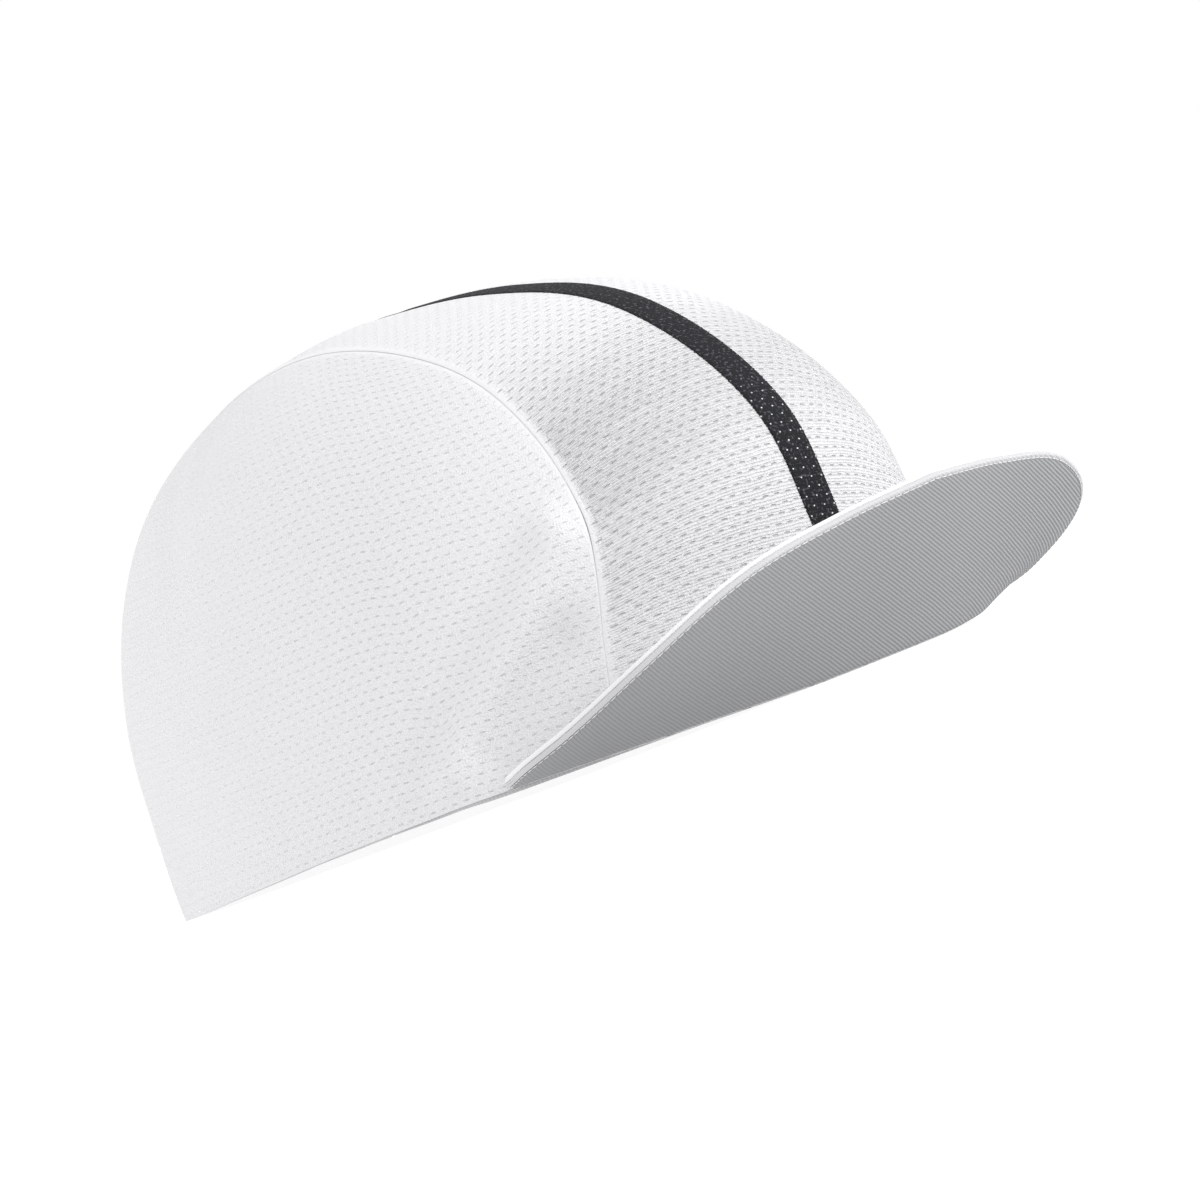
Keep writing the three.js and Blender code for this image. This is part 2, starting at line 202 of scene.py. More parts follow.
class CapSizes(bpy.types.PropertyGroup):
    """The cap's sizes."""
    rim_length: length("Rim length", "Head opening from front to back", 0.196)
    rim_breadth: length("Rim breadth", "Head opening from side to side", 0.1545)
    widest_behind: length("Widest behind middle", "How far back the opening is widest", 0.0029)
    crown_height: length("Crown height", "Hem to the top of the crown", 0.1028)
    hem_lift: length("Hem lift", "How far the hem arches up over the ears", 0.0024)
    panel_front: length("Panel front width", "Centre panel at the front hem", 0.1056)
    panel_top: length("Panel top width", "Centre panel over the top", 0.0544)
    panel_back: length("Panel back width", "Centre panel at the back hem", 0.0502)
    panel_sag: length("Panel sag", "How deep the centre panel sags between its seams", 0.0022)
    mesh_wall: length("Mesh thickness", "Thickness of the knitted mesh", 0.0009)
    stripe_width: length("Stripe width", "Width of the printed stripe", 0.008)
    stripe_proud: length("Print thickness", "How far the print stands on the mesh", 0.00012)
    peak_length: length("Peak length", "Peak from the hem to its edge at the front", 0.0389)
    peak_stack: length("Peak thickness", "Both cloths of the peak and what is between", 0.0023)
    peak_camber: length("Peak camber", "How far the peak bows between hem and edge", 0.001)
    peak_wall: length("Peak cloth", "Thickness of each of the peak's cloths", 0.0006)
    welt_width: length("Welt width", "Rolled edge from the rim to its stitches", 0.0009)
    twill_share: FloatProperty(name="Twill share", description="Share of the rolled edge that is twill",
                               default=0.55, min=0.1, max=0.9, subtype="FACTOR")
    peak_half_angle: turn("Peak half angle", "Bearing of the peak's corners", 49.2)
    band_height: length("Band height", "Height of the inner band", 0.026)
    band_wall: length("Band thickness", "Thickness of the inner band", 0.0008)
    stitch_pitch: length("Stitch pitch", "From one topstitch to the next", 0.0018)
    thread: length("Thread", "Diameter of the sewing thread", 0.00026)


class CapCloths(bpy.types.PropertyGroup):
    """The cap's colours and the pitch of each cloth's pattern."""
    white: tint("White mesh", "Knitted mesh of the crown and the peak's cover", (0.66, 0.66, 0.672))
    charcoal: tint("Charcoal", "Printed stripe", (0.022, 0.0225, 0.026))
    twill: tint("Grey twill", "Ribbed underside of the peak", (0.26, 0.263, 0.271))
    band: tint("Grey band", "Inner band", (0.52, 0.52, 0.53))
    white_thread: tint("White thread", "Topstitches and bar tacks", (0.66, 0.66, 0.67))
    row_pitch: length("Eyelet rows", "From one row of eyelets to the next", 0.00195)
    eyelet_pitch: length("Eyelet pitch", "From one eyelet to the next in its row", 0.0027)
    off_grain: turn("Off grain", "How far the centre panel's rows are turned on the cap", -9)
    rib_pitch: length("Twill pitch", "From one rib of the twill to the next", 0.00069)
    rib_turn: turn("Twill turn", "How far the ribs are turned from the peak's front edge", -38)


class CapStage(bpy.types.PropertyGroup):
    """Where the camera stands, and how bright the studio is."""
    azimuth: turn("Azimuth", "Camera round the cap from the front", -41.845)
    elevation: turn("Elevation", "Camera above the hem's plane", 0.779)
    roll: turn("Roll", "How far the camera is turned about its own axis", 21.101)
    distance: length("Distance", "Camera to the middle of the head opening", 1.3)
    aim_right: FloatProperty(name="Aim right", description="Picture's middle beside the head opening's",
                             default=0.00437, subtype="DISTANCE", unit="LENGTH", precision=5)
    aim_up: FloatProperty(name="Aim up", description="Picture's middle above the head opening's",
                          default=0.03498, subtype="DISTANCE", unit="LENGTH", precision=5)
    lens: FloatProperty(name="Lens", description="Focal length in millimetres", default=190.2,
                        min=1, subtype="DISTANCE_CAMERA")
    room: FloatProperty(name="Room", description="Brightness of the white room", default=1.0, min=0)
    glow: FloatProperty(name="Glow", description="Brightness of the light from below the floor",
                        default=0.85, min=0)
    side_light: FloatProperty(name="Side light", description="Power of the soft light at the back right",
                              default=3, min=0, unit="POWER")
    top_light: FloatProperty(name="Top light", description="Power of the soft light above",
                             default=3.8, min=0, unit="POWER")
    rim_light: FloatProperty(name="Rim light", description="Power of the soft light at the front left",
                             default=4, min=0, unit="POWER")
    front_light: FloatProperty(name="Front light", description="Power of the soft light in front",
                               default=11.5, min=0, unit="POWER")


def sizes():
    return bpy.context.scene.cap_sizes


def cloths():
    return bpy.context.scene.cap_cloths


def read_table(table, place, column, at):
    """A smooth curve through one column of a table, read at places along the table."""
    x = np.array(table[place], float)
    y = np.array(table[column], float)
    slope = np.empty(len(x))
    slope[1:-1] = (y[2:] - y[:-2]) / (x[2:] - x[:-2])
    slope[0] = (y[1] - y[0]) / (x[1] - x[0])
    slope[-1] = (y[-1] - y[-2]) / (x[-1] - x[-2])
    row = np.clip(np.searchsorted(x, at, side="right") - 1, 0, len(x) - 2)
    span = x[row + 1] - x[row]
    t = np.clip((at - x[row]) / span, 0, 1)
    near = y[row] * (2 * t**3 - 3 * t**2 + 1) + slope[row] * span * (t**3 - 2 * t**2 + t)
    return near + y[row + 1] * (3 * t**2 - 2 * t**3) + slope[row + 1] * span * (t**3 - t**2)


def unit(vectors):
    return vectors / np.linalg.norm(vectors, axis=-1, keepdims=True)


def towards(bearing, rise):
    """Directions from the head opening's middle, for bearings and rises in degrees."""
    angle, lift = np.radians(bearing), np.radians(rise)
    level = np.cos(lift)
    return np.stack([np.sin(angle) * level, -np.cos(angle) * level, np.sin(lift)], axis=-1)


def bearing_of(direction):
    return np.degrees(np.arctan2(direction[..., 0], -direction[..., 1]))


def rise_of(direction):
    return np.degrees(np.arcsin(np.clip(direction[..., 2], -1, 1)))


def hem_height(bearing):
    return sizes().hem_lift * np.maximum(0, read_table(HEM_ARCH, "bearing", "lift", abs(bearing)))


def band_edge(bearing):
    peek = np.maximum(0, read_table(HEM_ARCH, "bearing", "peek", abs(bearing)))
    return hem_height(bearing) - sizes().hem_lift * peek


def seam_offset(arch):
    """Half the centre panel's width at an arch, on a smooth curve through its three widths."""
    s, t = sizes(), np.asarray(arch) / 180
    front, top, back = (1 - t) * (1 - 2 * t), 4 * t * (1 - t), t * (2 * t - 1)
    return (s.panel_front * front + s.panel_top * top + s.panel_back * back) / 2


def fold_height(bearing, rise):
    """How far the soft folds push the cloth out."""
    s = sizes()
    reach = (s.rim_length + s.rim_breadth) / 4
    depth = np.where(bearing < 0, s.crown_height, s.crown_height * LEFT_FOLDS)
    height = np.zeros_like(bearing)
    for fold in zip(*FOLDS.values()):
        from_bearing, from_rise, to_bearing, to_rise, spread, high = fold
        level = math.cos(math.radians((from_rise + to_rise) / 2))
        run = np.array([(to_bearing - from_bearing) * level, to_rise - from_rise])
        offset = np.stack([(abs(bearing) - from_bearing) * level, rise - from_rise], axis=-1)
        share = np.clip(offset @ run / (run @ run), 0, 1)
        gap = np.linalg.norm(offset - share[..., None] * run, axis=-1)
        distance = np.radians(gap) * reach / (spread * s.crown_height)
        height += high * depth * np.exp(-0.5 * distance**2)
    return height


def crown_face(direction):
    """The crown's outer face along directions from the head opening's middle."""
    s = sizes()
    arch = np.degrees(np.arctan2(direction[..., 2], -direction[..., 1]))
    rim_reach = s.rim_length / 2 + np.where(arch <= 90, s.widest_behind, -s.widest_behind)
    oval = 1 / np.hypot(np.cos(np.radians(arch)) / rim_reach, np.sin(np.radians(arch)) / s.crown_height)
    along = np.hypot(direction[..., 1], direction[..., 2])
    along = along / (oval * read_table(CROWN_PROFILE, "arch", "reach", arch))
    across = abs(direction[..., 0]) / (s.rim_breadth / 2)
    bearing, rise = bearing_of(direction), rise_of(direction)
    fuller = 1 + np.sin(np.radians(bearing)) ** 2 * read_table(CROWN_SIDES, "rise", "fuller", rise)
    reach = fuller * (across**ARCH_ROUNDNESS + along**ARCH_ROUNDNESS) ** (-1 / ARCH_ROUNDNESS)
    from_middle = reach * direction[..., 0] / seam_offset(arch)
    sag = s.panel_sag * read_table(PANEL_DIP, "arch", "sag", arch)
    sag = sag * np.maximum(0, 1 - from_middle**2)
    point = direction * (reach - sag + fold_height(bearing, rise))[..., None]
    point[..., 1] += s.widest_behind
    point[..., 2] += hem_height(bearing) * np.cos(np.radians(rise)) ** 2
    return point


def crown_normal(direction):
    """Which way the crown's outer face looks along directions."""
    nudge, lowest_rise = 0.01, 1
    sideways = np.cross(direction, (0, 0, 1.0))
    sideways[np.linalg.norm(sideways, axis=-1) < nudge] = (1, 0, 0)
    sideways = unit(sideways)
    upwards = unit(np.cross(sideways, direction))
    step = lambda axis, size: crown_face(unit(direction + axis * size))
    across = step(sideways, nudge) - step(sideways, -nudge)
    at_hem = (rise_of(direction) < lowest_rise)[..., None]
    below = np.where(at_hem, crown_face(direction), step(upwards, -nudge))
    normal = unit(np.cross(across, step(upwards, nudge) - below))
    facing = np.sign((normal * direction).sum(axis=-1, keepdims=True))
    return normal * facing


def crown(direction, lift=0.0):
    """Points on the crown, lifted off its outer face, or sunk under it where lift is below 0."""
    return crown_face(direction) + crown_normal(direction) * np.asarray(lift)[..., None]


def across_arch(arch, offset):
    """Directions to the crown at offsets from its middle line."""
    arch, offset = np.broadcast_arrays(np.radians(arch), offset)
    lean = np.arctan2(offset, sizes().crown_height)
    aim = lambda: np.stack([np.sin(lean), -np.cos(lean) * np.cos(arch), np.cos(lean) * np.sin(arch)], -1)
    least_offset, corrections = 1e-9, 8
    off_middle = abs(offset) > least_offset
    for _ in range(corrections):
        reached = np.where(off_middle, crown_face(aim())[..., 0], 1)
        lean = np.where(off_middle, lean * offset / reached, 0)
    return aim()


def unevenness(points, size=0.03, height=0.0003):
    """The cloth's own soft unevenness: hills and hollows of a size and height at points."""
    return np.array([noise.noise(Vector(point) / size) for point in points]) * height


class Value:
    """A number on a node's socket, on which Python's own signs work."""

    def __init__(self, tree, socket):
        self.tree, self.socket = tree, socket

    def math(self, operation, *others):
        return self.tree.node("ShaderNodeMath", {"operation": operation}, [self, *others])

    def swapped(self, operation, other):
        return self.tree.node("ShaderNodeMath", {"operation": operation}, [other, self])

    def __add__(self, other):
        return self.math("ADD", other)

    def __sub__(self, other):
        return self.math("SUBTRACT", other)

    def __rsub__(self, other):
        return self.swapped("SUBTRACT", other)

    def __mul__(self, other):
        return self.math("MULTIPLY", other)

    def __truediv__(self, other):
        return self.math("DIVIDE", other)

    def __rtruediv__(self, other):
        return self.swapped("DIVIDE", other)

    __radd__ = __add__
    __rmul__ = __mul__

    def wave(self):
        """From 0 to 1 and back once for each whole number, with 1 at whole numbers."""
        return (self * math.tau).math("COSINE") * 0.5 + 0.5

    def ramp(self, start, end):
        """From 0 at start to 1 at end, softly. Start may be above end."""
        return self.tree.node("ShaderNodeMapRange", {"interpolation_type": "SMOOTHSTEP"},
                              [self, start, end])


class Tree:
    """The nodes of one material or of the room."""

    def __init__(self, owner):
        owner.use_nodes = True
        self.nodes, self.links = owner.node_tree.nodes, owner.node_tree.links
        self.nodes.clear()

    def node(self, kind, settings=None, values=None, output=0):
        """A node of a kind: its settings first, and then its sockets' values or links."""
        made = self.nodes.new(kind)
        for name, setting in (settings or {}).items():
            setattr(made, name, setting)
        named = values.items() if isinstance(values, dict) else enumerate(values or [])
        for place, value in named:
            if isinstance(value, Value):
                self.links.new(value.socket, made.inputs[place])
            else:
                made.inputs[place].default_value = value
        return Value(self, made.outputs[output])

    def mix(self, share, low, high):
        """A colour between two, by a share. The node names its sockets alike, so they go by number."""
        share_in, low_in, high_in, colour_out = 0, 6, 7, 2
        return self.node("ShaderNodeMix", {"data_type": "RGBA"},
                         {share_in: share, low_in: low, high_in: high}, colour_out)

    def noise(self, place, patches, detail=2.0):
        """Soft noise with so many patches to a metre, and some finer detail in them."""
        return self.node("ShaderNodeTexNoise", {}, {"Vector": place, "Scale": patches, "Detail": detail})

    def cloth_place(self):
        """Where a point lies on its flat cloth, in metres: the place, and its two directions."""
        place = self.node("ShaderNodeUVMap", {"uv_map": "cloth"})
        along = self.node("ShaderNodeSeparateXYZ", {}, [place])
        up = Value(self, along.socket.node.outputs["Y"])
        return place, along, up

    def attribute(self, name):
        return self.node("ShaderNodeAttribute", {"attribute_name": name}, output="Fac")

    def solid_place(self):
        return self.node("ShaderNodeTexCoord", output="Object")

    def finish(self, shader, kind="ShaderNodeOutputMaterial"):
        self.links.new(shader.socket, self.nodes.new(kind).inputs[0])


def grey(level):
    return (level, level, level, 1)


def colour(tone, level=1.0):
    return (*[part * level for part in tone], 1)


def weighed(weights, **parts):
    """The sum of a pattern's parts, each times its weight."""
    return sum(parts[name] * weight for name, weight in weights.items())


def cloth_shader(tree, base, height, depth, roughness=0.9, sheen=0.1):
    """A matt cloth of one colour and relief."""
    normal = tree.node("ShaderNodeBump", {}, {"Strength": 1.0, "Distance": depth, "Height": height})
    return tree.node("ShaderNodeBsdfPrincipled", {}, {
        "Base Color": base,
        "Roughness": roughness,
        "Normal": normal,
        "Sheen Weight": sheen,
        "Sheen Roughness": 0.5,
        "Specular IOR Level": 0.2,
    })


def eyelets(rows, along, half_height, half_width, uneven, outside, inside):
    """Staggered eyelets along rows of cloth: 1 inside them and 0 outside, softly."""
    c = cloths()
    stagger = (rows.math("FLOOR") * 0.5).math("FRACT")
    steps = along / c.eyelet_pitch + stagger
    high = (rows.math("FRACT") - 0.5) * (c.row_pitch / half_height)
    wide = (steps.math("FRACT") - 0.5) * (c.eyelet_pitch / half_width)
    return (high * high + wide * wide + uneven).ramp(outside, inside)


def knitted_mesh(tree):
    """White mesh: ribs of loops and staggered rows of eyelets, pressed flat along the seams."""
    c = cloths()
    place, along, up = tree.cloth_place()
    wobble = tree.noise(place, patches=90.0) - 0.5
    ripple = tree.noise(place, patches=420.0) - 0.5
    drift = wobble * 0.0009 + ripple * 0.0003
    rows = (up + drift) / c.row_pitch
    pressed = tree.attribute("pressed")
    # relief carries painted light as well as bump: the rows and eyelets fade in colour where the light
    # falls brightest.
    relief = tree.attribute("relief") * (1 - pressed)
    worn = tree.noise(place, patches=1100.0, detail=1.0) * 0.9
    holes = eyelets(rows, along + ripple * 0.0005, half_height=0.00017, half_width=0.0008, uneven=worn,
                    outside=1.7, inside=0.5) * relief
    ribs = (rows * RIBS_TO_A_ROW + 0.5 + wobble * 0.35).wave()
    contrast = relief * relief
    loops = (along / (c.eyelet_pitch / LOOPS_TO_AN_EYELET)).wave()
    grain_contrast = 1.9 - pressed * 1.3
    grain = (tree.noise(place, patches=2600.0, detail=3.0) - 0.5) * grain_contrast + 0.65
    dirt = tree.noise(place, patches=25.0)
    shade = weighed(KNIT_SHADE, ribs=(ribs - 0.5) * contrast, loops=loops, grain=grain, eyelets=holes,
                    pressed=pressed, dirt=dirt).ramp(-1.0, 1.2)
    base = tree.mix(shade, colour(c.white, level=0.62), colour(c.white, level=1.12))
    height = weighed(KNIT_HEIGHT, ribs=ribs * contrast, loops=loops, grain=grain, eyelets=holes)
    tree.finish(cloth_shader(tree, base, height, depth=0.0004, roughness=0.92))


def printed_mesh(tree):
    """The printed stripe: charcoal with glints of yarn, and white eyelets where the ink is missing."""
    c = cloths()
    place, along, up = tree.cloth_place()
    ripple = tree.noise(place, patches=420.0) - 0.5
    rows = (up + ripple * 0.0002) / c.row_pitch
    faded = tree.noise(place, patches=160.0, detail=1.0) * 0.7
    front = tree.attribute("front")
    dots = eyelets(rows, along + ripple * 0.0003, half_height=0.0002, half_width=0.00024, uneven=faded,
                   outside=1.35, inside=0.55) * front * front
    grain = tree.noise(place, patches=2400.0, detail=3.0)
    glints = tree.noise(place, patches=1500.0).ramp(0.52, 0.76)
    ribs = (rows * RIBS_TO_A_ROW + 0.5).wave()
    ink = tree.mix(glints * 0.7 + grain * 0.08, colour(c.charcoal, level=0.35),
                   colour(c.charcoal, level=6.0))
    base = tree.mix(dots, ink, colour(c.white))
    height = weighed(PRINT_HEIGHT, ribs=ribs, grain=grain, eyelets=dots)
    tree.finish(cloth_shader(tree, base, height, depth=0.0002, sheen=0.0))


def ribbed_twill(tree):
    """Light grey twill, whose raised ribs run across the peak on a slant."""
    c = cloths()
    place, along, up = tree.cloth_place()
    wobble = tree.noise(place, patches=60.0) - 0.5
    slant = along * -math.sin(c.rib_turn) + up * math.cos(c.rib_turn)
    down = along * math.cos(c.rib_turn) + up * math.sin(c.rib_turn)
    yarn_pitch = 0.00042
    yarn = (down / yarn_pitch + (slant / c.rib_pitch).math("FLOOR") * 0.5).wave()
    grain = tree.noise(place, patches=2600.0, detail=3.0)
    rolled = tree.attribute("rolled")
    # The contrast that changes along the peak is painted light, a raking light from the wearer's left.
    contrast = (1 - rolled * 0.55) * tree.attribute("crisp")
    ribs = (((slant + wobble * 0.0006) / c.rib_pitch).wave() - 0.5) * contrast + 0.5
    shade = weighed(TWILL_SHADE, ribs=ribs, yarn=yarn, grain=grain, rolled=rolled).ramp(0.05, 1.4)
    base = tree.mix(shade, colour(c.twill, level=0.72), colour(c.twill, level=1.65))
    base = tree.mix(rolled * 0.7, base, colour(c.white, level=0.85))
    height = weighed(TWILL_HEIGHT, ribs=ribs, yarn=yarn, grain=grain)
    tree.finish(cloth_shader(tree, base, height, depth=0.00018))


def band_tape(tree):
    """Soft grey tape with fine upright ribs."""
    c = cloths()
    place, along, up = tree.cloth_place()
    rib_pitch, pick_pitch = 0.0009, 0.0006
    ribs = (along / rib_pitch).wave()
    picks = (up / pick_pitch).wave()
    grain = tree.noise(place, patches=2200.0, detail=3.0)
    shade = weighed(BAND_SHADE, ribs=ribs, picks=picks, grain=grain)
    base = tree.mix(shade, colour(c.band, level=0.8), colour(c.band, level=1.1))
    height = weighed(BAND_HEIGHT, ribs=ribs, picks=picks, grain=grain)
    tree.finish(cloth_shader(tree, base, height, depth=0.00015, sheen=0.15))


def sewing_thread(tree):
    """Twisted sewing thread."""
    white = cloths().white_thread
    twist = tree.node("ShaderNodeTexWave", {"bands_direction": "DIAGONAL"},
                      {"Vector": tree.solid_place(), "Scale": 1400.0, "Distortion": 1.5}, output="Fac")
    base = tree.mix(twist, colour(white, level=0.88), colour(white))
    tree.finish(cloth_shader(tree, base, twist, depth=0.00005, roughness=0.7))


def light_table(tree):
    """A pale floor that is lit from below."""
    mottling = tree.noise(tree.solid_place(), patches=40.0)
    tree.finish(tree.node("ShaderNodeBsdfPrincipled", {}, {
        "Base Color": tree.mix(mottling, grey(0.29), grey(0.31)),
        "Roughness": 1.0,
        "Specular IOR Level": 0.0,
        "Emission Color": grey(1.0),
        "Emission Strength": bpy.context.scene.cap_stage.glow,
    }))


def material(fill):
    """The material whose nodes a function fills in, named after that function and made only once."""
    made = bpy.data.materials.get(fill.__name__)
    if made is None:
        made = bpy.data.materials.new(fill.__name__)
        fill(Tree(made))
    return made


def piece_from(bm, name, paint, replaced=()):
    """Makes a mesh into a named piece that rides on the cap, in a material."""
    mesh = bpy.data.meshes.new(name)
    bm.to_mesh(mesh)
    bm.free()
    mesh.polygons.foreach_set("use_smooth", [True] * len(mesh.polygons))
    piece = bpy.data.objects.new(name, mesh)
    bpy.context.scene.collection.objects.link(piece)
    mesh.materials.append(paint)
    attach(piece, "root")
    if replaced:
        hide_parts(*replaced)
    return piece


def cloth_grid(place, across, along):
    """A grid of cloth with steps across and along.

    place is given the points' shares across and along, from 0 to 1. It gives their places, their
    coordinates on the flat cloth, and their marks by name.
    """
    bm = bmesh.new()
    bmesh.ops.create_grid(bm, x_segments=across, y_segments=along, size=0.5)
    shares = np.array([vert.co[:2] for vert in bm.verts]) + 0.5
    points, flat, marks = place(shares[:, 0], shares[:, 1])
    uv = bm.loops.layers.uv.new("cloth")
    layers = {name: bm.verts.layers.float.new(name) for name in marks}
    for i, vert in enumerate(bm.verts):
        vert.co = Vector(points[i]) + MIDDLE
        for name, layer in layers.items():
            vert[layer] = float(marks[name][i])
        for loop in vert.link_loops:
            loop[uv].uv = flat[i]
    same_place = 1e-6
    bmesh.ops.remove_doubles(bm, verts=bm.verts, dist=same_place)
    bmesh.ops.dissolve_degenerate(bm, edges=bm.edges, dist=same_place)
    bmesh.ops.recalc_face_normals(bm, faces=bm.faces)
    return bm


def face_out(bm, outwards):
    """Turns all faces over if most of them look against outwards, a direction for each face."""
    facing = sum(face.normal.dot(outwards(face)) * face.calc_area() for face in bm.faces)
    if facing < 0:
        bmesh.ops.reverse_faces(bm, faces=bm.faces)


def from_inside(face):
    return (face.calc_center_median() - MIDDLE).normalized()


def thicken(piece, wall, levels=1, sharp=0.0):
    """Gives a sheet its wall below its face, and rounds its cut edges unless they are sharp."""
    solid = piece.modifiers.new("wall", "SOLIDIFY")
    solid.thickness, solid.offset = wall, -1
    solid.edge_crease_outer = sharp
    if levels:
        smooth = piece.modifiers.new("rounding", "SUBSURF")
        smooth.levels = smooth.render_levels = levels


def flat_size(piece):
    """The size of the piece's flat cloth, and the area of its face."""
    mesh = piece.data
    flat = np.empty(len(mesh.loops) * 2)
    mesh.uv_layers["cloth"].uv.foreach_get("vector", flat)
    size = tuple(float(span) for span in np.ptp(flat.reshape(-1, 2), axis=0))
    return size, sum(face.area for face in mesh.polygons)


def crowded(share, strength=1.0):
    """The same shares, crowded towards 0 and 1."""
    return (0.5 - 0.5 * np.cos(math.pi * share)) * strength + share * (1 - strength)


def seam_relief(column, distance):
    """One column of the table of how the cloth lies at a seam, read at distances from the seam."""
    return read_table(SEAM_RELIEF, "from_seam", column, distance)


def middle_line_length(arch):
    """How far along the crown's middle line each arch lies from the front hem."""
    steps = 721
    arches = np.linspace(0, 180, steps)
    points = crown_face(across_arch(arches, np.zeros(steps)))
    legs = np.linalg.norm(np.diff(points, axis=0), axis=1)
    return np.interp(arch, arches, np.concatenate([[0], np.cumsum(legs)]))


def off_grain(flat):
    """The centre panel's cloth is cut slightly off its rows."""
    turned = cloths().off_grain
    cosine, sine = math.cos(turned), math.sin(turned)
    return flat @ np.array([[cosine, -sine], [sine, cosine]])


def path_length(from_bearing, from_rise, to_bearing, to_rise):
    """How far each place on the crown lies from another, along an even path of bearing and rise."""
    steps = 32
    share = np.linspace(0, 1, steps)
    bearing = from_bearing[:, None] * (1 - share) + to_bearing[:, None] * share
    rise = from_rise[:, None] * (1 - share) + to_rise[:, None] * share
    points = crown_face(towards(bearing, rise))
    return np.linalg.norm(np.diff(points, axis=1), axis=-1).sum(axis=1)


class CAP_OT_centre_panel(bpy.types.Operator):
    """The mesh panel over the crown, from the front hem to the back hem"""
    bl_idname = "cap.centre_panel"
    bl_label = "Centre panel"

    def execute(self, context):
        def place(across, along):
            arch = 180 * crowded(along, 0.35)
            side = 2 * crowded(across) - 1
            offset = side * seam_offset(arch)
            direction = across_arch(arch, offset)
            from_seam = (1 - abs(side)) * seam_offset(arch)
            base = crown_face(direction)
            lift = seam_relief("centre", from_seam) + unevenness(base)
            flat = off_grain(np.stack([offset, middle_line_length(arch)], axis=-1))
            relief = read_table(KNIT_RELIEF_AND_PAINTED_LIGHT, "arch", "relief", arch)
            marks = {"pressed": seam_relief("pressed", from_seam), "relief": relief}
            return crown(direction, lift), flat, marks

        bm = cloth_grid(place, across=44, along=120)
        face_out(bm, from_inside)
        piece = piece_from(bm, "centre_panel_mesh", material(knitted_mesh),
                           ["centre_panel"])
        s = sizes()
        size = (s.panel_front, float(middle_line_length(180.0)))
        flat_size(piece)[1]
        thicken(piece, s.mesh_wall, sharp=SEAM_EDGE_SHARPNESS)
        return {"FINISHED"}


class CAP_OT_side_panels(bpy.types.Operator):
    """The two half-moon mesh panels, from the hem up to the seams"""
    bl_idname = "cap.side_panels"
    bl_label = "Side panels"

    def execute(self, context):
        for name, side in (("right", -1), ("left", 1)):
            self.side_panel(name, side)
        return {"FINISHED"}

    def side_panel(self, name, side):
        seam = lambda arch: across_arch(arch, seam_offset(arch))
        ends = bearing_of(seam(np.array([0.0, 180.0])))

        def place(up, along):
            rows = crowded(along, 0.4)
            hem = towards(ends[0] + (ends[1] - ends[0]) * rows, np.zeros(len(rows)))
            at_seam = seam(180 * rows)
            level = crowded(up)[:, None]
            direction = unit(hem * (1 - level) + at_seam * level)
            mirrored = np.array([side, 1, 1])
            direction, at_seam = direction * mirrored, at_seam * mirrored
            base = crown_face(direction)
            from_seam = np.linalg.norm(base - crown_face(at_seam), axis=-1)
            lift = seam_relief("side", from_seam) + unevenness(base)
            bearing, rise = bearing_of(direction), rise_of(direction)
            ear, hem_rise = np.full_like(bearing, side * 90.0), np.zeros_like(rise)
            flat = np.stack([np.sign(bearing - ear) * path_length(ear, rise, bearing, rise),
                             path_length(bearing, hem_rise, bearing, rise)], axis=-1)
            relief = read_table(SIDE_KNIT_RELIEF_AND_PAINTED_LIGHT, "bearing", "relief", abs(bearing))
            marks = {"pressed": seam_relief("pressed", from_seam), "relief": relief}
            return crown(direction, lift), flat, marks

        bm = cloth_grid(place, across=44, along=110)
        face_out(bm, from_inside)
        piece = piece_from(bm, f"side_panel_{name}_mesh", material(knitted_mesh),
                           [f"side_panel_{name}"])
        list(flat_size(piece))
        thicken(piece, sizes().mesh_wall, sharp=SEAM_EDGE_SHARPNESS)


class CAP_OT_stripe(bpy.types.Operator):
    """The printed stripe along the middle of the centre panel"""
    bl_idname = "cap.stripe"
    bl_label = "Stripe"

    def execute(self, context):
        s = sizes()
        first_arch = 2
        tooth, tooth_depth = cloths().row_pitch / RIBS_TO_A_ROW, 0.00007
        frays_to_a_tooth, fray_depth, between_edges = 1.3, 0.00022, 7

        def place(across, along):
            arch = first_arch + (180 - first_arch) * along
            run = middle_line_length(arch)
            side = 2 * across - 1
            frays = run / tooth * frays_to_a_tooth
            spots = np.stack([frays, np.sign(side) * between_edges, np.zeros_like(run)], axis=-1)
            ragged = np.cos(math.tau * run / tooth) * tooth_depth + unevenness(spots, 1, fray_depth)
            on_edge = abs(side) > 0.99
            offset = side * (s.stripe_width / 2 + np.where(on_edge, ragged, 0))
            direction = across_arch(arch, offset)
            lift = s.stripe_proud + unevenness(crown_face(direction))
            lift = lift + seam_relief("centre", seam_offset(arch) - abs(offset))
            flat = off_grain(np.stack([offset, run], axis=-1))
            marks = {"front": read_table(PRINT_GAPS, "arch", "front", arch)}
            return crown(direction, lift), flat, marks

        bm = cloth_grid(place, across=8, along=1500)
        face_out(bm, from_inside)
        piece = piece_from(bm, "stripe_print", material(printed_mesh), ["stripe"])
        thicken(piece, 2 * s.stripe_proud, levels=0)
        return {"FINISHED"}


def peak_width(share):
    return sizes().peak_length * read_table(PEAK_SECTIONS, "share", "width", abs(share))


